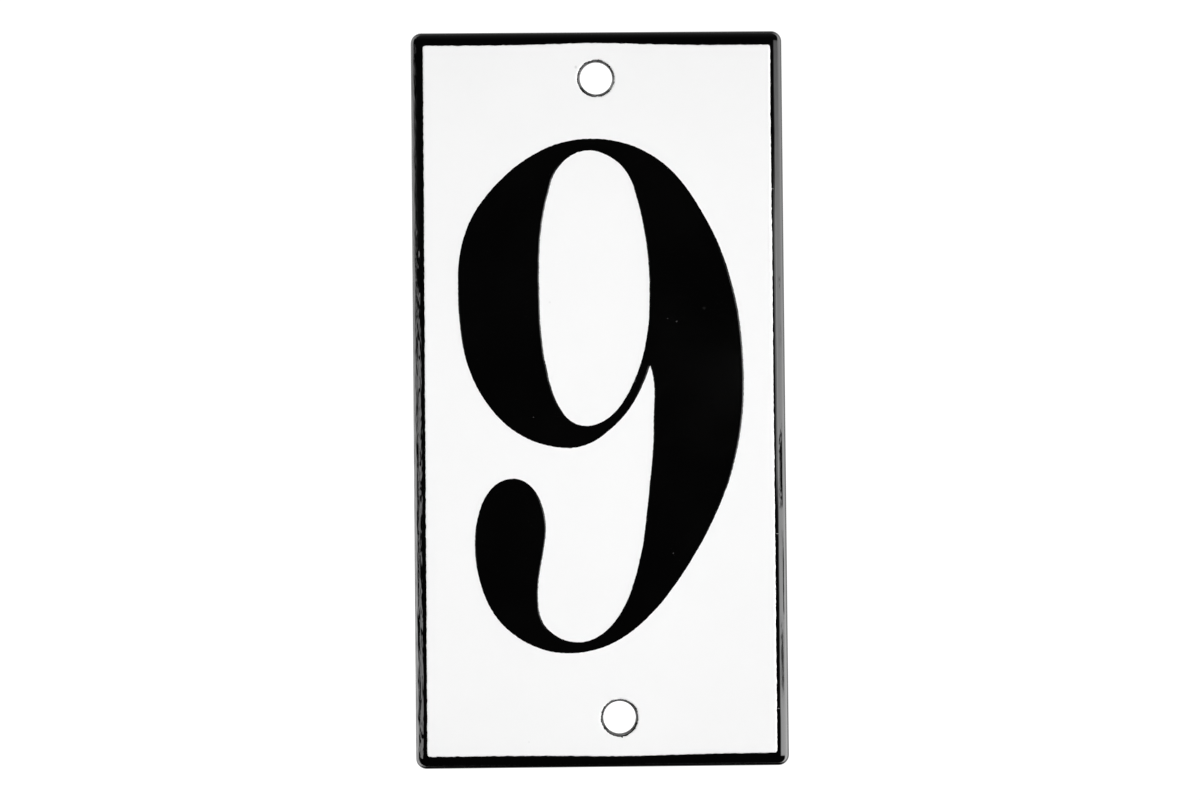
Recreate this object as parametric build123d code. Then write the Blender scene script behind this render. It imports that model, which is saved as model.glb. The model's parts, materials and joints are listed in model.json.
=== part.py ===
from build123d import *
from math import cos, radians, sin
import os

# Enamel house number plaque: a pressed steel plate in black enamel, with a white enamel field
# and a black figure nine fired onto its face, fixed to a wall by two screws.
# Millimetres. +X is to the right seen from the front, +Y goes into the wall, +Z is up.
# The origin is the middle of the plaque on the wall, so the face looks along -Y.

# Pressed plate, its edges turned back all round
plate_width = 50.6
plate_height = 100.0
plate_depth = 3.5          # wall to the black face
sheet = 1.0                # enamelled sheet
bend_inside = 0.4          # inner radius of the turned-back edges and of their corners

# Screw holes, the lower one punched well off the middle
hole_diameter = 4.4
upper_hole_margin = 6.45   # top edge of the plate to the hole's centre
lower_hole_margin = 6.8    # bottom edge of the plate to the hole's centre
upper_hole_offset = -0.1   # to the right of the plate's middle
lower_hole_offset = 2.3

# White field
white_coat = 0.15          # thickness over the black
side_flat = 0.25           # flat black strip between the bend and the white, along the sides
end_flat = 0.35            # the same along the top and the bottom
white_corner = 0.35        # corner radius of the field
hole_ring = 0.35           # black left showing round each hole

# Numeral
numeral_coat = 0.1         # thickness over the white
left_margin = 6.2          # numeral to the plate's left edge
right_margin = 5.7         # numeral to the plate's right edge
top_margin = 14.7          # numeral to the plate's top edge
bottom_margin = 15.5       # numeral to the plate's bottom edge
bowl_stroke = 11.05        # heavy left side of the bowl
stem_stroke = 12.7         # heavy right side, from the bowl down to the tail
crown_hairline = 1.65      # thin stroke over the counter
join_hairline = 3.0        # thin stroke under the counter
foot_hairline = 1.5        # thin stroke at the foot of the tail
terminal_width = 9.65      # drop-shaped end of the tail
curve_handle = 0.36        # handle length of each curve, as a share of its chord

# Worked out from the sizes above
bend_outside = bend_inside + sheet
side_border = bend_outside + side_flat
end_border = bend_outside + end_flat
hole_centres = [
    (upper_hole_offset, plate_height / 2 - upper_hole_margin),
    (lower_hole_offset, lower_hole_margin - plate_height / 2),
]

# Planes parallel to the wall: local x is +X, local y is +Z, and extrusions rise towards the viewer
wall = Plane.XZ
black_face = wall.offset(plate_depth)
white_face = black_face.offset(white_coat)


def round_fronted_block(width, height, depth, radius):
    """A block standing on the wall, with its front edges and its four corners rounded alike."""
    block = extrude(wall * Rectangle(width, height), amount=depth)
    front_edges = block.faces().sort_by(Axis.Y)[0].edges()
    corner_edges = block.edges().filter_by(Axis.Y)
    return fillet(front_edges + corner_edges, radius)


def screw_holes(diameter):
    """The two screw holes as discs in a plane parallel to the wall."""
    return Sketch() + [Pos(x, z) * Circle(diameter / 2) for x, z in hole_centres]


def make_plate():
    """A shallow pan: sheet of one thickness, open at the back, punched for two screws."""
    outside = round_fronted_block(plate_width, plate_height, plate_depth, bend_outside)
    hollow = round_fronted_block(
        plate_width - 2 * sheet, plate_height - 2 * sheet, plate_depth - sheet, bend_inside
    )
    punches = extrude(wall * screw_holes(hole_diameter), amount=plate_depth)
    return outside - hollow - punches


def make_white_field():
    """The white coat inside the black border, held back from each screw hole."""
    field = RectangleRounded(plate_width - 2 * side_border, plate_height - 2 * end_border, white_corner)
    field -= screw_holes(hole_diameter + 2 * hole_ring)
    return extrude(black_face * field, amount=white_coat)


def closed_curve(knots):
    """A face bounded by cubic curves through knots of x, z, heading and, at a corner, the heading out.

    Headings are in degrees from +X towards +Z, and each curve's handles lie along them.
    """
    curves = []
    for start, end in zip(knots, knots[1:] + knots[:1]):
        leaving, arriving = radians(start[-1]), radians(end[2])
        first, last = Vector(start[0], start[1]), Vector(end[0], end[1])
        handle = curve_handle * (last - first).length
        curves.append(Bezier(
            first,
            first + Vector(cos(leaving), sin(leaving)) * handle,
            last - Vector(cos(arriving), sin(arriving)) * handle,
            last,
        ))
    return make_face(curves)


def make_numeral():
    """The figure nine, with heavy sides, hairlines at crown, join and foot, and a drop-shaped tail."""
    left = left_margin - plate_width / 2
    right = plate_width / 2 - right_margin
    top = plate_height / 2 - top_margin
    bottom = bottom_margin - plate_height / 2

    def across(share):
        return left + share * (right - left)

    def up(share):
        return bottom + share * (top - bottom)

    stem_inside = right - stem_stroke
    bowl_foot = up(0.398)
    terminal_left = across(0.052)
    outline = closed_curve([
        (stem_inside, up(0.557), 108, -110),                   # corner between the stem and the bowl
        (across(0.538), up(0.437), -139),
        (across(0.386), bowl_foot, 180),
        (across(0.117), up(0.472), 129),
        (left, up(0.720), 90),
        (across(0.096), up(0.886), 51),
        (across(0.471), top, 0),                               # crown
        (across(0.798), up(0.908), -54),
        (right, up(0.526), -90),
        (across(0.810), up(0.179), -122),
        (across(0.383), bottom, 180),                          # foot
        (across(0.088), up(0.109), 111),
        (terminal_left, up(0.215), 90),
        (terminal_left + 0.54 * terminal_width, up(0.340), 0),  # top of the drop
        (terminal_left + terminal_width, up(0.246), -90),
        (terminal_left + 0.88 * terminal_width, up(0.116), -90),
        (across(0.308), up(0.046), -44),
        (across(0.409), bottom + foot_hairline, 0),
        (stem_inside - 0.23 * stem_stroke, up(0.119), 70),
        (stem_inside - 0.03 * stem_stroke, up(0.306), 84),
        (stem_inside + 0.03 * stem_stroke, up(0.442), 90),
    ])

    counter_left = left + bowl_stroke
    counter_top = top - crown_hairline
    counter_foot = bowl_foot + join_hairline

    def counter_across(share):
        return counter_left + share * (stem_inside - counter_left)

    def counter_up(share):
        return counter_foot + share * (counter_top - counter_foot)

    counter = closed_curve([
        (counter_across(0.457), counter_top, 0),
        (counter_across(0.861), counter_up(0.870), -73),
        (stem_inside, counter_up(0.484), -90),
        (counter_across(0.845), counter_up(0.154), -114),
        (counter_across(0.411), counter_foot, 180),
        (counter_across(0.064), counter_up(0.199), 102),
        (counter_left, counter_up(0.572), 90),
        (counter_across(0.119), counter_up(0.891), 73),
    ])
    return extrude(white_face * (outline - counter), amount=numeral_coat)


os.makedirs("parts", exist_ok=True)
export_step(make_plate(), "parts/plate.step")
export_step(make_white_field(), "parts/white_field.step")
export_step(make_numeral(), "parts/numeral.step")
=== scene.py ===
import json
from math import cos, radians, sin

import bmesh
import bpy
import numpy as np
from mathutils import Matrix, Vector
from mathutils.geometry import delaunay_2d_cdt


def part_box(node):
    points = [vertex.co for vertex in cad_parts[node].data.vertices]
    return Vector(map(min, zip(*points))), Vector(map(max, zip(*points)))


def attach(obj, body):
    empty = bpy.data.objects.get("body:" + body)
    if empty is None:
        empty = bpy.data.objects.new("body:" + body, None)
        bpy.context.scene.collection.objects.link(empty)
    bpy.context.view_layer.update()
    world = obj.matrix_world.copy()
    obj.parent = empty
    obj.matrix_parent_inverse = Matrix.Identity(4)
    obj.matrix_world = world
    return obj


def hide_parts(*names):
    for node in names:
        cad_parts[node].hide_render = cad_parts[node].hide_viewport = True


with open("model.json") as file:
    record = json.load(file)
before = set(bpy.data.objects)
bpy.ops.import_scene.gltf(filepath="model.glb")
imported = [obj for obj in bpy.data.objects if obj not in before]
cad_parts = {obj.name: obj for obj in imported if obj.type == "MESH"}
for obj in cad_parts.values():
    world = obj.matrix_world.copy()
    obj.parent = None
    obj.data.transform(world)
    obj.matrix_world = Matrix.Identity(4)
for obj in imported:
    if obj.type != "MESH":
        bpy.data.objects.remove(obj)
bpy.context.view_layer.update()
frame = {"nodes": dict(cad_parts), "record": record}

# Enamel house number plaque: a pressed steel plate in black enamel, a white coat on its face, and a black
# figure nine on the white. Shapes are worked out in millimetres and put into meshes in metres.
# The frame is the CAD's: +X to the right seen from the front, +Y into the wall, +Z up.
MM = 0.001
WELD = 0.001 * MM           # points nearer than this become one
TOO_SHORT = 0.0005 * MM     # edges shorter than this are dissolved
OPEN_FILL = 2               # the triangulation that leaves loops within a loop open
FILL_MERGE = 1e-6           # points nearer than this are one to the triangulation
LOOKS_FRONT = -0.5          # a face looks to the front if its normal's Y is no more than this

# Sizes read from the frame
plate_low, plate_high = [np.array(corner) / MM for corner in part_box("plate")]
white_low, white_high = [np.array(corner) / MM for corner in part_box("white_field")]
mounts = {mount["name"]: mount for mount in frame["record"]["mounts"]}
upper_hole, lower_hole = [
    np.array(mounts[name]["pos_m"])[[0, 2]] / MM for name in ("upper_screw_hole", "lower_screw_hole")
]
hole_radius = mounts["upper_screw_hole"]["dims"]["r_mm"]
sheet = mounts["upper_screw_hole"]["dims"]["length_mm"]
half_width, half_height = plate_high[0], plate_high[2]
black_face = plate_low[1]
hollow_face = black_face + sheet
white_face = white_low[1]
numeral_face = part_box("numeral")[0][1] / MM

# Pressed rim and punched holes
bend_inside = 0.4           # as in the CAD
bend_outside = bend_inside + sheet
level_step = 0.05           # level strip kept beside each bend, so that flats shade flat
lip_round = 0.2             # rounding of the rim's two back edges
rim_step = 0.2              # from one section of the rim to the next along a side
rim_turns = 12              # the same round a corner, in steps to the quarter turn
bend_points = 29            # points of the section round the outer bend
round_points = 7            # round the inner bend, and round each edge of the lip
wall_points = 3             # up each wall between bend and lip
hole_edge_round = 0.22      # enamel drawn round the front edge of a punched hole
hole_back_round = 0.1
hole_columns = 120          # points round a hole
hole_points = 8             # points of its section round each edge

# Unevenness of the glaze on the rim
rim_ripple = 0.010          # deepest hollow of the ripple over the bend, along the left side
calm_share = 0.15           # share of that ripple along the other three sides
rim_waves = (20, 1.1)       # longest and shortest wave of the ripple along the rim
bend_waves = ((11, 0), (12, 2), (13, 4), (14, 6))  # seed, also the phase, and waves to a turn round the bend
wrinkle_width = 0.3         # fine wrinkles along the two long sides, from where the bend begins
wrinkle_stretch = 0.12      # width of a wrinkle as a share of its length
wrinkle_depth = 0.06        # along the left side
right_wrinkles = 0.12       # share of that depth along the right side
wrinkle_fade = 0.3          # width of the strip over which they come in

# White coat: where its edge departs from the drawn rectangle, as the brush left it
white_corner = 0.35         # corner radius, as in the CAD
white_step = 0.12           # between points along a side
white_turns = 8             # steps round a corner
white_edge_run = 0.25       # width of the rounded edge of the coat
white_sway = 0.03           # slow unevenness of the edge
white_sway_waves = (40, 5)  # its longest and shortest wave
white_jag = 0.05            # small teeth along the edge
white_jag_waves = (3, 0.35)
top_shortfall = 0.22        # the white stops this much lower along the top
top_slope = 0.0035          # and slopes down to the right
top_swell = (0.30, 8.0)     # rise and reach of the swell above the upper hole
bottom_shortfall = 0.015    # the white stops this much higher along the bottom
bottom_slope = 0.0015       # and slopes up to the right
bottom_swell = (0.20, 9.0)  # drop and reach of the swell under the lower hole
right_shortfall = 0.04      # the white stops this much short along the right
left_gain = 0.015           # and runs this much further along the left
left_slope = 0.0013         # the left edge leans out downwards
hole_ring = 0.34            # mean width of the black ring round a hole
ring_points = 300           # points of the white's edge there
ring_extra = 0.06           # the ring is wider by this much on one side
upper_ring_side = radians(-132)
lower_ring_side = radians(-90)
ring_bend = 0.06            # slow unevenness of the white's edge there
ring_bend_waves = (2, 0.4)  # its longest and shortest wave, in radians
ring_jag = 0.05             # and its small teeth
ring_jag_waves = (0.35, 0.1)

# Figure nine
numeral_step = 0.1          # between points of its outline
numeral_edge_run = 0.16     # width of the rounded edge of the coat
numeral_wobble = 0.035      # hand-cut unevenness of its outline
numeral_wobble_waves = (12, 1.5)
numeral_jag = 0.025         # small teeth along it
numeral_jag_waves = (1.2, 0.45)
coat_edge_points = 6        # points up the rounded edge of either coat

# Small marks, each a place x, z, a half width, a half height and a tone
dust_and_scratches = (
    (10.53, 10.32, 0.13, 0.10, 0.06),
    (9.32, 10.74, 0.10, 0.08, 0.04),
    (9.78, -21.09, 0.10, 0.10, 0.05),
    (-8.99, -2.50, 0.09, 0.09, 0.04),
    (23.75, 28.29, 0.22, 0.05, 0.25),
    (23.94, -18.58, 0.22, 0.05, 0.30),
    (23.83, -42.23, 0.22, 0.05, 0.25),
)
chip_and_spot = (
    (2.62, -45.85, 0.13, 0.12, 0.03),
    (-2.84, 45.05, 0.20, 0.24, 0.76),
)
# A painted highlight: a lighter patch on the right wall of the upper hole, where that wall catches the light
painted_highlight_patch = ((2.1, 42.6, 0.7, 1.2, 0.22),)  # on the right edge of the upper hole
mark_edge = (1.0, 0.7)      # a mark comes in between these shares of its half size
mark_depth = 1.0            # metres, more than the plaque's depth, so that only x and z count

# Fired glaze
enamel_ior = 1.55
drift_limits = (0.3, 0.7)   # values of the noise between which the tone goes from one to the other
speck_edge = 0.05           # width of a speck's soft edge, as a share of a cell
drift_detail = 3.0          # finer layers of noise in the drift
fine_detail = 1.0           # and in ripple, wrinkles and the ragged strip of light

# Studio round the plaque. Angles are in degrees: azimuths from straight before the face, positive to the
# right, and elevations. Two of them are where a light is none and where it is full. Four are where it comes
# in, is full, begins to go and is gone.
backdrop_sides = (92, 128)
backdrop_foot = (-58, -25)
backdrop_head = (75, 25)
backdrop_head_share = (0.1, 1.0)
backdrop_light = 1.1
camera_white = 1.05         # what the camera sees behind the plaque
overhead_rise = (25, 95)
overhead_light = (0.012, 0.13)

# Panels to the right and left of it, low before the face so that it seldom mirrors them, and taller aside
panel_edge = (12, 4)        # upper and lower edge, on either side of level
panel_rise_from = 70        # azimuth from which these edges rise
panel_rise = 2.0            # degrees up for each degree aside
panel_levels = (8, -5)      # the light grows downwards between these elevations
right_panel_sides = (14, 30, 100, 124)
right_panel_light = (3.4, 6.2)
right_gaps = (
    ((66, 70, 80, 84), (-2.2, -2.1, -0.9, -0.8)),
    ((32, 38, 62, 67), (-3.2, -3.1, -2.5, -2.4)),
)
left_panel_near = (88, 93)
left_panel_far = (-140, -108)
left_panel_light = (1.6, 4.0)
left_half = (0, -10)
right_wing_sides = (4.4, 5.0, 24, 32)
right_wing_levels = (-0.4, 0.4, 4.4, 5.6)
right_wing_light = 2.6

# Wedges in the panels: elevation of the middle, half width, azimuth of the point and of the wide end.
# On the right they are dark, and the last number is how dark. On the left they are drips of light.
wedge_soft = 2              # half width of a wedge's soft edge, in azimuth
right_wedges = (
    (0.68, 0.41, 26, 74, 1.0),
    (0.33, 0.24, 34, 74, 1.0),
    (0.14, 0.17, 30, 74, 1.0),
    (-0.10, 0.17, 22, 74, 1.0),
    (-3.26, 0.17, 30, 67, 1.0),
    (3.60, 0.08, 36, 72, 0.6),
    (2.63, 0.12, 40, 80, 0.3),
    (-0.81, 0.15, 36, 80, 0.35),
)
left_drips = (
    (7.0, 0.2, 62, 96),
    (6.34, 0.22, 46, 96),
    (5.66, 0.14, 46, 96),
    (5.03, 0.16, 40, 96),
    (3.87, 0.2, 58, 96),
    (3.23, 0.38, 58, 96),
)

# Narrow strip of light on the left, with a ragged far edge
strip_far = (-68, -62)
strip_near = (-26, -34)
strip_levels = (-4.9, -4.6, 2.8, 2.9)
strip_light = 3.4
strip_noise_scale = 2.6     # per degree of elevation
strip_teeth_out = (0.55, 0.75, 0, 26)    # the far edge goes out where the noise is high
strip_teeth_in = (0.45, 0.25, 0, -24)    # and comes in where it is low
strip_hump_levels = (-2.3, -1.8, -0.1, 0.5)
strip_hump = 18             # the near edge goes back by this much there
strip_gap = (0.58, 0.24, 26, 90)         # a dark wedge

# Light before the face, and floor, in metres
face_light_size = 0.16
face_light_energy = 0.428
face_light_place = (0.010, -0.232, -0.006)
floor_radius = 3.0
floor_drop = 0.6
floor_points = 96
floor_tones = (0.90, 0.94)
floor_drift_scale = 2.0
floor_roughness = 0.9
floor_glow = 0.9

# Camera, fitted to the photograph
camera_lens = 100
sensor_width = 36
camera_near = 0.01
camera_aim = Vector((0.07, -2.1, -0.20)) * MM
camera_distance = 453.4 * MM
camera_azimuth = radians(-1.16)
camera_elevation = radians(-1.57)
camera_roll = radians(-0.53)


def wander(along, length, longest, shortest, seed):
    """Irregular values between -1 and 1 round a closed line of the given length.

    A sum of cosines, each with a whole number of waves round the line, from the longest to the shortest
    wavelength, with a random phase and a height in proportion to the root of its wavelength.
    """
    rng = np.random.default_rng(seed)
    most_waves = 60
    least_height = 0.3
    waves = np.unique(np.geomspace(length / longest, length / shortest, most_waves).round())[:, None]
    phases = rng.uniform(0, 2 * np.pi, waves.shape)
    heights = rng.uniform(least_height, 1, waves.shape) / np.sqrt(waves)
    values = (heights * np.cos(2 * np.pi * waves * along / length + phases)).sum(axis=0)
    return values / np.abs(values).max()


def rectangle_path(half_x, half_z, step, turns):
    """Points round an upright rectangle, anticlockwise from the front, and the outward direction at each.

    Points stand about one step apart along each side. At a corner the point stays while the direction
    swings through a quarter turn.
    """
    corners = np.array([(1, -1), (1, 1), (-1, 1), (-1, -1)]) * (half_x, half_z)
    points, angles = [], []
    for side in range(4):
        start, end = corners[side], corners[(side + 1) % 4]
        share = np.linspace(0, 1, int(np.abs(end - start).sum() / step) + 1)[:, None]
        swing = np.linspace(0, np.pi / 2, turns + 1)[1:-1]
        points += [start + share * (end - start), np.tile(end, (turns - 1, 1))]
        angles += [np.full(share.size, side * np.pi / 2), side * np.pi / 2 + swing]
    angles = np.concatenate(angles)
    return np.concatenate(points), np.column_stack([np.cos(angles), np.sin(angles)])


def lengths_along(points):
    """Distance along a closed line to each of its points, and its whole length."""
    steps = np.linalg.norm(np.roll(points, -1, axis=0) - points, axis=1)
    return np.concatenate([[0], np.cumsum(steps)[:-1]]), steps.sum()


def even_steps(points, step):
    """A closed line's points laid out again at equal steps along it."""
    along, length = lengths_along(points)
    stations = np.linspace(0, length, int(length / step), endpoint=False)
    return np.column_stack([np.interp(stations, along, line, period=length) for line in points.T])


def outward(points):
    """Directions at right angles to a closed line, to the right of its run and so away from the piece."""
    run = np.roll(points, -1, axis=0) - np.roll(points, 1, axis=0)
    run /= np.linalg.norm(run, axis=1)[:, None]
    return np.column_stack([run[:, 1], -run[:, 0]])


def carried(points, directions, reach, depth):
    """A profile carried round a path, as a grid of profile rows by path columns.

    Each path point goes out along its direction by the profile's reach and lies at the profile's depth.
    """
    flat = points + reach[..., None] * directions
    return np.stack([flat[..., 0], np.broadcast_to(depth, flat.shape[:2]), flat[..., 1]], axis=-1)


def band(grid):
    """Vertices and four-sided faces of a grid whose columns close on themselves, as whole arrays."""
    rows, columns = grid.shape[:2]
    here = np.arange(rows * columns).reshape(rows, columns)
    beside = np.roll(here, -1, axis=1)
    faces = np.stack([here[:-1], beside[:-1], beside[1:], here[1:]], axis=-1)
    return grid.reshape(-1, 3), faces.reshape(-1, 4)


def flat_between(rings, facing_front):
    """Vertices and triangles of the flat face that closes rings of points lying at one depth.

    The rings run anticlockwise round the face and clockwise round its openings, so that a triangulation
    held to their edges fills only what lies between them.
    """
    places = np.concatenate(rings)[:, [0, 2]].tolist()
    ends = np.cumsum([0] + [len(ring) for ring in rings])
    loops = [list(range(first, last)) for first, last in zip(ends, ends[1:])]
    corners, _, triangles, *_ = delaunay_2d_cdt(places, [], loops, OPEN_FILL, FILL_MERGE)
    flat = np.array(corners)
    vertices = np.column_stack([flat[:, 0], np.full(len(flat), rings[0][0][1]), flat[:, 1]])
    triangles = np.array(triangles)
    return vertices, triangles if facing_front else triangles[:, ::-1]


def make_piece(name, surfaces, materials, node):
    """One closed mesh in the place of a CAD node, from surfaces welded where they meet.

    Each surface is its vertices and faces, and the place of its material among the piece's materials.
    """
    vertices, faces, finish, first = [], [], [], 0
    for (points, polygons), material in surfaces:
        vertices.append(points)
        faces += (first + polygons).tolist()
        finish += [material] * len(polygons)
        first += len(points)
    mesh = bpy.data.meshes.new(name)
    mesh.from_pydata((np.concatenate(vertices) * MM).tolist(), [], faces)
    mesh.polygons.foreach_set("material_index", finish)
    mesh.polygons.foreach_set("use_smooth", np.ones(len(faces), dtype=bool))
    welded = bmesh.new()
    welded.from_mesh(mesh)
    bmesh.ops.remove_doubles(welded, verts=welded.verts, dist=WELD)
    bmesh.ops.dissolve_degenerate(welded, edges=welded.edges, dist=TOO_SHORT)
    welded.to_mesh(mesh)
    welded.free()
    for material in materials:
        mesh.materials.append(material)
    piece = bpy.data.objects.new(name, mesh)
    bpy.context.collection.objects.link(piece)
    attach(piece, "root")
    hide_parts(node)


def circle_round(centre, radii):
    """Points clockwise from the front round a hole, at radii that may vary with the angle."""
    angles = -np.linspace(0, 2 * np.pi, len(radii), endpoint=False)
    return centre + radii[:, None] * np.column_stack([np.cos(angles), np.sin(angles)])


def coat_edge(outline, teeth, run, back, front):
    """The rounded edge of a coat: a quarter ellipse from the foot up to the flat, then a level step.

    Each column's foot reaches out by its tooth, and the tooth fades as a cosine up the ellipse.
    """
    turn = np.linspace(0, np.pi / 2, coat_edge_points)
    reach = np.cos(turn)[:, None] * teeth - run * (1 - np.cos(turn))[:, None]
    level = np.full((1, len(outline)), -run - level_step)
    depth = np.append(back + (front - back) * np.sin(turn), front)[:, None]
    return carried(outline, outward(outline), np.concatenate([reach, level]), depth)


def coat_surfaces(outlines, run, back, front):
    """A coat from outlines with teeth: a rounded edge along each, and a flat before and behind."""
    edges = [coat_edge(outline, teeth, run, back, front) for outline, teeth in outlines]
    face = flat_between([edge[-1] for edge in edges], True)
    underside = flat_between([edge[0] for edge in edges], False)
    return [(band(edge), 0) for edge in edges] + [(face, 0), (underside, 0)]


def rim_profile():
    """Reach and depth of the rim's section from the hollow, over the back lip, to the front face.

    Inner bend, inner wall, rounded lip, flange and outer bend are quarter circles joined by straight lines.
    The third array is each point's angle round the outer bend, from a quarter turn to none, and none off it.
    The last value is the number of rows in ground coat, which ends one row before the lip's rounding does.
    """
    turn = np.linspace(0, np.pi / 2, round_points)
    wall = np.linspace(0, 1, wall_points + 2)[1:-1]
    bend = np.linspace(np.pi / 2, 0, bend_points)
    inner_foot = hollow_face + bend_inside
    outer_foot = black_face + bend_outside
    back_reach = [
        [-level_step / 2],
        bend_inside * np.sin(turn),
        np.full(wall_points, bend_inside),
        bend_inside + lip_round * (1 - np.cos(turn)),
        bend_outside - lip_round * (1 - np.sin(turn)),
    ]
    front_reach = [
        np.full(wall_points, bend_outside),
        bend_outside * np.sin(bend),
        [-level_step / 2],
    ]
    depth = np.concatenate([
        [hollow_face],
        inner_foot - bend_inside * np.cos(turn),
        inner_foot + wall * (-lip_round - inner_foot),
        lip_round * (np.sin(turn) - 1),
        lip_round * (np.cos(turn) - 1),
        -lip_round + wall * (outer_foot + lip_round),
        outer_foot - bend_outside * np.cos(bend),
        [black_face],
    ])
    reach = np.concatenate(back_reach + front_reach) + level_step
    angle = np.zeros(len(reach))
    angle[-bend_points - 1:-1] = bend
    ground_rows = len(np.concatenate(back_reach)) - 1
    return reach, depth, angle, ground_rows


def glaze_ripple(along, length, angle):
    """Hollows from 0 to 1 in the glaze over the bend: waves along the rim times cosines round the bend."""
    ripple = 0
    for seed, turns in bend_waves:
        ripple = ripple + wander(along, length, *rim_waves, seed) * np.cos(turns * angle + seed)
    return (ripple - ripple.min()) / np.ptp(ripple)


def plate_rim():
    """The rim's section carried round the plate as a grid, and its number of rows in ground coat.

    The outer bend sinks along its normal by the ripple, which is full along the left side and fades out at
    both ends of the bend as the sine of twice the angle.
    """
    inset = bend_outside + level_step
    points, directions = rectangle_path(half_width - inset, half_height - inset, rim_step, rim_turns)
    *section, ground_rows = rim_profile()
    reach, depth, angle = [values[:, None] for values in section]
    along, length = lengths_along(points + directions * inset)
    share = calm_share + (1 - calm_share) * np.clip(-directions[:, 0], 0, 1)
    sunk = rim_ripple * share * np.sin(2 * angle) * glaze_ripple(along, length, angle)
    rim = carried(points, directions, reach - sunk * np.sin(angle), depth + sunk * np.cos(angle))
    return rim, ground_rows


def plate_hole(centre):
    """A punched hole's section carried round its circle as a grid, from the hollow to the face.

    A level step, a quarter circle round the back edge, the straight bore, a quarter circle round the front
    edge, and a level step.
    """
    turn = np.linspace(0, np.pi / 2, hole_points)
    inset = np.concatenate([
        [hole_back_round + level_step],
        hole_back_round * (1 - np.sin(turn)),
        hole_edge_round * (1 - np.cos(turn)),
        [hole_edge_round + level_step],
    ])
    depth = np.concatenate([
        [hollow_face],
        hollow_face - hole_back_round * (1 - np.cos(turn)),
        black_face + hole_edge_round * (1 - np.sin(turn)),
        [black_face],
    ])
    circle = circle_round(centre, np.full(hole_columns, hole_radius))
    return carried(circle, outward(circle), -inset[:, None], depth[:, None])


def plate_surfaces(glazed, ground, worn):
    """The pressed plate: its rim, two punched holes and the two flats between them, each with its finish."""
    rim, ground_rows = plate_rim()
    holes = [plate_hole(upper_hole), plate_hole(lower_hole)]
    front = flat_between([rim[-1]] + [hole[-1] for hole in holes], True)
    back = flat_between([rim[0]] + [hole[0] for hole in holes], False)
    flats_and_rim = [
        (band(rim[:ground_rows]), ground),
        (band(rim[ground_rows - 1:]), glazed),
        (front, glazed),
        (back, ground),
    ]
    return flats_and_rim + [(band(hole), worn) for hole in holes]


def white_outline():
    """The white coat's edge and its teeth: the drawn rectangle with rounded corners, each side shifted.

    Every point shifts in proportion to its distance from the plaque's middle, so that corners keep their
    form. The swells beside the holes are bell curves.
    """
    points, directions = rectangle_path(
        white_high[0] - white_corner, white_high[2] - white_corner, white_step, white_turns
    )
    x, z = (points + directions * white_corner).T
    over_upper = top_swell[0] * np.exp(-((x - upper_hole[0]) / top_swell[1]) ** 2)
    under_lower = bottom_swell[0] * np.exp(-((x - lower_hole[0]) / bottom_swell[1]) ** 2)
    top = over_upper - top_shortfall - top_slope * x
    bottom = under_lower - bottom_shortfall - bottom_slope * x
    left = left_gain - left_slope * z
    outline = np.column_stack([
        x * (1 + np.where(x > 0, -right_shortfall, left) / white_high[0]),
        z * (1 + np.where(z > 0, top, bottom) / white_high[2]),
    ])
    along, length = lengths_along(outline)
    sway = white_sway * wander(along, length, *white_sway_waves, seed=22)
    teeth = white_jag * wander(along, length, *white_jag_waves, seed=21)
    return outline + sway[:, None] * outward(outline), teeth


def white_opening(centre, wide_side, seed):
    """The white's edge round a hole and its teeth, wider on one side by a cosine of the angle."""
    angles = -np.linspace(0, 2 * np.pi, ring_points, endpoint=False)
    bend = ring_bend * wander(-angles, 2 * np.pi, *ring_bend_waves, seed)
    teeth = ring_jag * wander(-angles, 2 * np.pi, *ring_jag_waves, seed + 2)
    radii = hole_radius + hole_ring + bend + ring_extra * np.cos(angles - wide_side)
    return circle_round(centre, radii), -teeth


def front_outlines(node):
    """Outlines of the front face of a CAD node: the edges round what looks along -Y, followed end to end."""
    welded = bmesh.new()
    welded.from_mesh(frame["nodes"][node].data)
    bmesh.ops.remove_doubles(welded, verts=welded.verts, dist=WELD)
    other_faces = [f for f in welded.faces if f.normal.y > LOOKS_FRONT]
    bmesh.ops.delete(welded, geom=other_faces, context="FACES")
    follow = {
        corner.vert: corner.link_loop_next.vert
        for f in welded.faces for corner in f.loops if corner.edge.is_boundary
    }
    outlines = []
    while follow:
        start, corner = follow.popitem()
        outline = [start.co]
        while corner is not start:
            outline.append(corner.co)
            corner = follow.pop(corner)
        outlines.append(np.array(outline)[:, [0, 2]] / MM)
    welded.free()
    return outlines


def numeral_outlines():
    """The figure nine's outline and counter at even steps, shifted by a slow wobble, each with its teeth."""
    uneven = []
    for seed, outline in enumerate(front_outlines("numeral"), start=31):
        outline = even_steps(outline, numeral_step)
        along, length = lengths_along(outline)
        wobble = numeral_wobble * wander(along, length, *numeral_wobble_waves, seed)
        teeth = numeral_jag * wander(along, length, *numeral_jag_waves, seed + 10)
        uneven.append((outline + wobble[:, None] * outward(outline), teeth))
    return uneven


def add(tree, kind, inputs=None, **settings):
    """A node in a tree, with its settings and with values or linked sockets for its inputs."""
    node = tree.nodes.new("ShaderNode" + kind)
    for name, value in settings.items():
        setattr(node, name, value)
    for name, value in (inputs or {}).items():
        if isinstance(value, bpy.types.NodeSocket):
            tree.links.new(value, node.inputs[name])
        else:
            node.inputs[name].default_value = value
    return node


def calculate(tree, operation, *values):
    """The outcome of an arithmetic operation on one, two or three values."""
    return add(tree, "Math", dict(enumerate(values)), operation=operation).outputs[0]


def times(tree, first, *others):
    """The product of two or more values."""
    product = first
    for other in others:
        product = calculate(tree, "MULTIPLY", product, other)
    return product


def total(tree, first, *others):
    """The sum of two or more values."""
    addition = first
    for other in others:
        addition = calculate(tree, "ADD", addition, other)
    return addition


def without(tree, share):
    """What a share leaves of one."""
    return calculate(tree, "SUBTRACT", 1.0, share)


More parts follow.
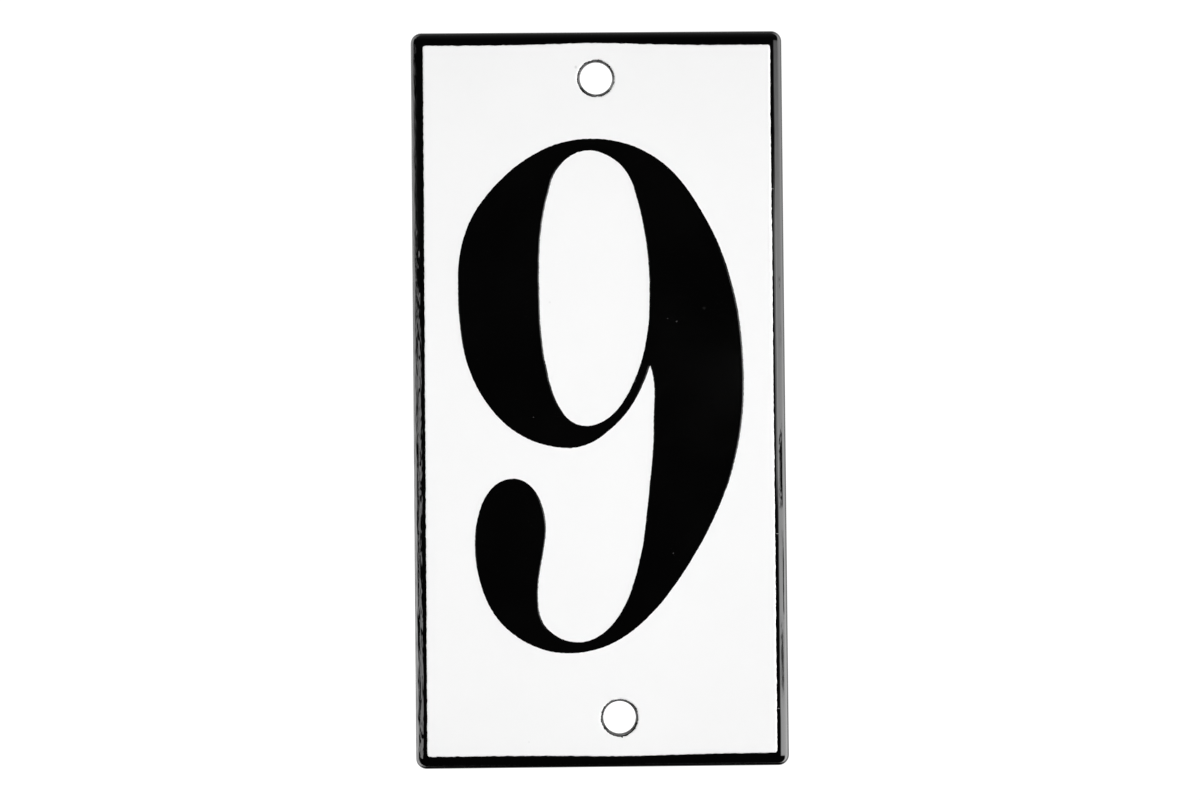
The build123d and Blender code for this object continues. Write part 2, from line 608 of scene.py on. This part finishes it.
def ramp(tree, value, start, end, low=0.0, high=1.0):
    """A smooth rise from low to high as the value goes from start to end."""
    limits = {"Value": value, "From Min": start, "From Max": end, "To Min": low, "To Max": high}
    return add(tree, "MapRange", limits, interpolation_type="SMOOTHSTEP").outputs[0]


def between(tree, value, limits):
    """A share that rises between the first two of four limits and falls between the last two."""
    come_in, full, begin_to_go, gone = limits
    return times(tree, ramp(tree, value, come_in, full), ramp(tree, value, gone, begin_to_go))


def mixed(tree, share, first, second):
    """A colour between two colours, which are sockets 6 and 7 of a Mix node."""
    return add(tree, "Mix", {0: share, 6: first, 7: second}, data_type="RGBA").outputs[2]


def grey(value):
    """A neutral colour."""
    return (value, value, value, 1.0)


def glaze_group():
    """Shared look of fired glaze: slow drift of tone, orange-peel ripple and sparse specks.

    Drift and ripple are noise. A speck is a dot in the middle of a cell, in a share of the cells chosen by
    chance.
    """
    group = bpy.data.node_groups.new("fired_glaze", "ShaderNodeTree")
    for name in ("Drift Scale", "Ripple Scale", "Speck Scale", "Speck Share", "Speck Size"):
        group.interface.new_socket(name, in_out="INPUT", socket_type="NodeSocketFloat")
    for name in ("Drift", "Ripple", "Specks"):
        group.interface.new_socket(name, in_out="OUTPUT", socket_type="NodeSocketFloat")
    inputs = group.nodes.new("NodeGroupInput").outputs
    outputs = group.nodes.new("NodeGroupOutput").inputs
    place = add(group, "TexCoord").outputs["Object"]
    slow = {"Vector": place, "Scale": inputs["Drift Scale"], "Detail": drift_detail}
    fine = {"Vector": place, "Scale": inputs["Ripple Scale"], "Detail": fine_detail}
    drift = add(group, "TexNoise", slow)
    ripple = add(group, "TexNoise", fine)
    cells = add(group, "TexVoronoi", {"Vector": place, "Scale": inputs["Speck Scale"]})
    chance = add(group, "SeparateColor", {0: cells.outputs["Color"]}).outputs[0]
    chosen = calculate(group, "LESS_THAN", chance, inputs["Speck Share"])
    inside = calculate(group, "SUBTRACT", inputs["Speck Size"], cells.outputs["Distance"])
    dot = ramp(group, inside, 0.0, speck_edge)
    group.links.new(ramp(group, drift.outputs[0], *drift_limits), outputs["Drift"])
    group.links.new(ripple.outputs[0], outputs["Ripple"])
    group.links.new(times(group, chosen, dot), outputs["Specks"])
    return group


def mark_group():
    """Shared mask of one small mark: an ellipse parallel to the face, of a given middle and half size."""
    group = bpy.data.node_groups.new("small_mark", "ShaderNodeTree")
    for name in ("Middle", "Half Size"):
        group.interface.new_socket(name, in_out="INPUT", socket_type="NodeSocketVector")
    group.interface.new_socket("Mask", in_out="OUTPUT", socket_type="NodeSocketFloat")
    inputs = group.nodes.new("NodeGroupInput").outputs
    outputs = group.nodes.new("NodeGroupOutput").inputs
    place = add(group, "TexCoord").outputs["Object"]
    away = add(group, "VectorMath", {0: place, 1: inputs["Middle"]}, operation="SUBTRACT").outputs[0]
    share = add(group, "VectorMath", {0: away, 1: inputs["Half Size"]}, operation="DIVIDE").outputs[0]
    distance = add(group, "VectorMath", {0: share}, operation="LENGTH").outputs["Value"]
    group.links.new(ramp(group, distance, *mark_edge), outputs["Mask"])
    return group


def with_marks(tree, colour, mark_mask, marks):
    """A colour with small marks of their own tones on it, each mixed in by its mask."""
    for x, z, half_x, half_z, tone in marks:
        mark = tree.nodes.new("ShaderNodeGroup")
        mark.node_tree = mark_mask
        mark.inputs["Middle"].default_value = (x * MM, black_face * MM, z * MM)
        mark.inputs["Half Size"].default_value = (half_x * MM, mark_depth, half_z * MM)
        colour = mixed(tree, mark.outputs["Mask"], colour, grey(tone))
    return colour


def rim_wrinkles(tree, normal):
    """A normal with wrinkles along the long sides of the rim: noise drawn out along +Z, none on the face."""
    place = add(tree, "TexCoord").outputs["Object"]
    drawn_out = add(tree, "Mapping", {"Vector": place, "Scale": (1.0, 1.0, wrinkle_stretch)}).outputs[0]
    scale = 1 / (wrinkle_width * MM)
    wrinkles = add(tree, "TexNoise", {"Vector": drawn_out, "Scale": scale, "Detail": fine_detail})
    sideways = add(tree, "SeparateXYZ", {0: place}).outputs[0]
    start = (half_width - bend_outside) * MM
    full = start + wrinkle_fade * MM
    left_share = ramp(tree, sideways, -start, -full)
    right_share = ramp(tree, sideways, start, full, 0.0, right_wrinkles)
    bump = add(tree, "Bump", {
        "Height": wrinkles.outputs[0],
        "Distance": wrinkle_depth * MM,
        "Strength": total(tree, left_share, right_share),
        "Normal": normal,
    })
    return bump.outputs[0]


def enamel(name, groups, colours, roughness, ripple_height, marks=(), wrinkled=False, **glaze_values):
    """An enamel: a base tone that drifts to a second one, specks of a third, and gloss over a faint ripple.

    Roughness goes with the drift from its first to its second value. The glaze values are the inputs of the
    shared glaze.
    """
    glaze, mark_mask = groups
    material = bpy.data.materials.new(name)
    material.use_nodes = True
    tree = material.node_tree
    shader = tree.nodes["Principled BSDF"]
    surface = tree.nodes.new("ShaderNodeGroup")
    surface.node_tree = glaze
    for socket, value in glaze_values.items():
        surface.inputs[socket.replace("_", " ").title()].default_value = value
    base, drifted, speck = [grey(value) for value in colours]
    tone = mixed(tree, surface.outputs["Drift"], base, drifted)
    speckled = mixed(tree, surface.outputs["Specks"], tone, speck)
    gloss = ramp(tree, surface.outputs["Drift"], 0.0, 1.0, *roughness)
    bump = add(tree, "Bump", {"Height": surface.outputs["Ripple"], "Distance": ripple_height * MM})
    normal = rim_wrinkles(tree, bump.outputs[0]) if wrinkled else bump.outputs[0]
    tree.links.new(with_marks(tree, speckled, mark_mask, marks), shader.inputs["Base Color"])
    tree.links.new(gloss, shader.inputs["Roughness"])
    tree.links.new(normal, shader.inputs["Normal"])
    shader.inputs["IOR"].default_value = enamel_ior
    return material


def wedge(tree, azimuth, elevation, level, half, point, wide_end):
    """Where a wedge lies: it widens evenly on both sides of its level, from its point to its wide end."""
    off = calculate(tree, "ABSOLUTE", calculate(tree, "SUBTRACT", elevation, level))
    edge = calculate(tree, "MULTIPLY_ADD", off, (wide_end - point) / half, point)
    past_edge = ramp(tree, calculate(tree, "SUBTRACT", azimuth, edge), -wedge_soft, wedge_soft)
    return times(tree, past_edge, ramp(tree, azimuth, wide_end + 2 * wedge_soft, wide_end))


def panel_height(tree, aside, elevation):
    """The share of a side panel at an elevation. Beyond an azimuth its edges rise in proportion."""
    beyond = calculate(tree, "MAXIMUM", calculate(tree, "SUBTRACT", aside, panel_rise_from), 0.0)
    from_level = calculate(tree, "ABSOLUTE", elevation)
    return ramp(tree, calculate(tree, "SUBTRACT", from_level, times(tree, beyond, panel_rise)), *panel_edge)


def backdrop(tree, aside, elevation):
    """Light of the white backdrop behind the plaque, with dark below it and little above."""
    return times(
        tree,
        ramp(tree, aside, *backdrop_sides),
        ramp(tree, elevation, *backdrop_foot),
        ramp(tree, elevation, *backdrop_head, *backdrop_head_share),
        backdrop_light,
    )


def right_panel(tree, azimuth, aside, elevation):
    """Light of the panel on the right, brighter downwards, less its gaps and dark wedges."""
    light = times(
        tree,
        between(tree, azimuth, right_panel_sides),
        panel_height(tree, aside, elevation),
        ramp(tree, elevation, *panel_levels, *right_panel_light),
    )
    for sides, levels in right_gaps:
        gap = times(tree, between(tree, azimuth, sides), between(tree, elevation, levels))
        light = times(tree, light, without(tree, gap))
    for *shape, darkness in right_wedges:
        dark = times(tree, wedge(tree, azimuth, elevation, *shape), darkness)
        light = times(tree, light, without(tree, dark))
    return light


def left_panel(tree, azimuth, aside, elevation):
    """Light of the panel on the left, brighter downwards, with drips that run in from its near edge."""
    face = ramp(tree, aside, *left_panel_near)
    for drip in left_drips:
        face = calculate(tree, "MAXIMUM", face, wedge(tree, aside, elevation, *drip))
    return times(
        tree,
        face,
        ramp(tree, azimuth, *left_panel_far),
        panel_height(tree, aside, elevation),
        ramp(tree, elevation, *panel_levels, *left_panel_light),
        ramp(tree, azimuth, *left_half),
    )


def left_strip(tree, azimuth, aside, elevation):
    """Light of the strip on the left: noise along it moves its far edge, and a hump its near edge."""
    noise_inputs = {"W": elevation, "Scale": strip_noise_scale, "Detail": fine_detail}
    noise = add(tree, "TexNoise", noise_inputs, noise_dimensions="1D").outputs[0]
    teeth = total(tree, ramp(tree, noise, *strip_teeth_out), ramp(tree, noise, *strip_teeth_in))
    hump = times(tree, between(tree, elevation, strip_hump_levels), strip_hump)
    return times(
        tree,
        ramp(tree, total(tree, azimuth, teeth), *strip_far),
        ramp(tree, total(tree, azimuth, hump), *strip_near),
        between(tree, elevation, strip_levels),
        without(tree, wedge(tree, aside, elevation, *strip_gap)),
        strip_light,
    )


def right_wing(tree, azimuth, elevation):
    """Light of a low wing beside the camera, on the right."""
    return times(
        tree,
        between(tree, azimuth, right_wing_sides),
        between(tree, elevation, right_wing_levels),
        right_wing_light,
    )


def studio_world():
    """White to the camera, and round the plaque a dark room with a backdrop behind and panels at the sides.

    Each light is a share of its strength by azimuth and elevation, and the lights add up.
    """
    world = bpy.data.worlds.new("studio")
    world.use_nodes = True
    bpy.context.scene.world = world
    tree = world.node_tree
    sideways, inwards, up = add(tree, "SeparateXYZ", {0: add(tree, "TexCoord").outputs["Generated"]}).outputs
    azimuth = calculate(tree, "DEGREES", calculate(tree, "ARCTAN2", sideways, times(tree, inwards, -1.0)))
    elevation = calculate(tree, "DEGREES", calculate(tree, "ARCSINE", up))
    aside = calculate(tree, "ABSOLUTE", azimuth)
    light = total(
        tree,
        backdrop(tree, aside, elevation),
        right_panel(tree, azimuth, aside, elevation),
        left_panel(tree, azimuth, aside, elevation),
        left_strip(tree, azimuth, aside, elevation),
        right_wing(tree, azimuth, elevation),
        ramp(tree, elevation, *overhead_rise, *overhead_light),
    )
    to_camera = times(tree, add(tree, "LightPath").outputs["Is Camera Ray"], camera_white)
    background = tree.nodes["Background"]
    background.inputs["Color"].default_value = grey(1.0)
    tree.links.new(calculate(tree, "MAXIMUM", light, to_camera), background.inputs["Strength"])


def face_light():
    """A soft light before the face, a little to the right, that lights it and shows in no reflection."""
    light = bpy.data.lights.new("face_light", "AREA")
    light.shape = "SQUARE"
    light.size = face_light_size
    light.energy = face_light_energy
    lamp = bpy.data.objects.new("face_light", light)
    lamp.location = face_light_place
    lamp.rotation_euler = (-lamp.location).to_track_quat("-Z", "Y").to_euler()
    lamp.visible_camera = False
    lamp.visible_glossy = False
    bpy.context.collection.objects.link(lamp)


def pale_floor():
    """A plain pale floor well below the plaque, a round disc that shows in no reflection."""
    material = bpy.data.materials.new("pale_floor")
    material.use_nodes = True
    tree = material.node_tree
    shader = tree.nodes["Principled BSDF"]
    place = add(tree, "TexCoord").outputs["Object"]
    drift = add(tree, "TexNoise", {"Vector": place, "Scale": floor_drift_scale})
    darker, lighter = [grey(tone) for tone in floor_tones]
    tree.links.new(mixed(tree, drift.outputs[0], darker, lighter), shader.inputs["Base Color"])
    shader.inputs["Roughness"].default_value = floor_roughness
    shader.inputs["Emission Color"].default_value = grey(1.0)
    shader.inputs["Emission Strength"].default_value = floor_glow
    angles = np.linspace(0, 2 * np.pi, floor_points, endpoint=False)
    rim = np.column_stack([np.cos(angles), np.sin(angles), np.zeros(floor_points)]) * floor_radius
    mesh = bpy.data.meshes.new("floor")
    mesh.from_pydata((rim - (0, 0, floor_drop)).tolist(), [], [list(range(floor_points))])
    mesh.materials.append(material)
    floor = bpy.data.objects.new("floor", mesh)
    floor.visible_glossy = False
    floor.visible_diffuse = False
    bpy.context.collection.objects.link(floor)


def photo_camera():
    """The camera, looking at its aim point from the fitted distance, azimuth, elevation and roll."""
    back = Vector((
        sin(camera_azimuth) * cos(camera_elevation),
        -cos(camera_azimuth) * cos(camera_elevation),
        sin(camera_elevation),
    ))
    level = Vector((0, 0, 1)).cross(back).normalized()
    upright = back.cross(level)
    right = cos(camera_roll) * level + sin(camera_roll) * upright
    up = back.cross(right)
    data = bpy.data.cameras.new("camera")
    data.lens = camera_lens
    data.sensor_width = sensor_width
    data.clip_start = camera_near
    camera = bpy.data.objects.new("camera", data)
    turned = Matrix((right, up, back)).transposed().to_4x4()
    camera.matrix_world = Matrix.Translation(camera_aim + back * camera_distance) @ turned
    bpy.context.collection.objects.link(camera)
    bpy.context.scene.camera = camera


# Finishes: three tones, least and most roughness, and the height of the ripple in millimetres.
# Scales are per metre, and the size of a speck is a share of its cell.
groups = (glaze_group(), mark_group())
black_enamel = enamel(
    "black_enamel", groups, (0.0006, 0.0011, 0.008), (0.02, 0.05), 0.0006, dust_and_scratches, wrinkled=True,
    drift_scale=90, ripple_scale=900, speck_scale=420, speck_share=0.004, speck_size=0.12,
)
white_enamel = enamel(
    "white_enamel", groups, (0.93, 0.915, 0.85), (0.04, 0.07), 0.004, chip_and_spot,
    drift_scale=60, ripple_scale=700, speck_scale=600, speck_share=0.006, speck_size=0.12,
)
# The enamel of the hole walls carries the painted highlight on the right wall of the upper hole
worn_enamel = enamel(
    "worn_enamel", groups, (0.012, 0.13, 0.25), (0.20, 0.40), 0.02, painted_highlight_patch,
    drift_scale=700, ripple_scale=2500, speck_scale=3500, speck_share=0.15, speck_size=0.3,
)
ground_coat = enamel(
    "ground_coat", groups, (0.010, 0.026, 0.05), (0.28, 0.50), 0.02,
    drift_scale=160, ripple_scale=1500, speck_scale=900, speck_share=0.10, speck_size=0.25,
)

# Pieces, from the back of the build-up to the front
make_piece(
    "pressed_plate", plate_surfaces(glazed=0, ground=1, worn=2),
    [black_enamel, ground_coat, worn_enamel], "plate",
)
white_outlines = [
    white_outline(),
    white_opening(upper_hole, upper_ring_side, seed=23),
    white_opening(lower_hole, lower_ring_side, seed=24),
]
make_piece(
    "white_coat", coat_surfaces(white_outlines, white_edge_run, black_face, white_face),
    [white_enamel], "white_field",
)
make_piece(
    "figure_nine", coat_surfaces(numeral_outlines(), numeral_edge_run, white_face, numeral_face),
    [black_enamel], "numeral",
)

studio_world()
face_light()
pale_floor()
photo_camera()
bpy.context.scene.view_settings.view_transform = "Standard"
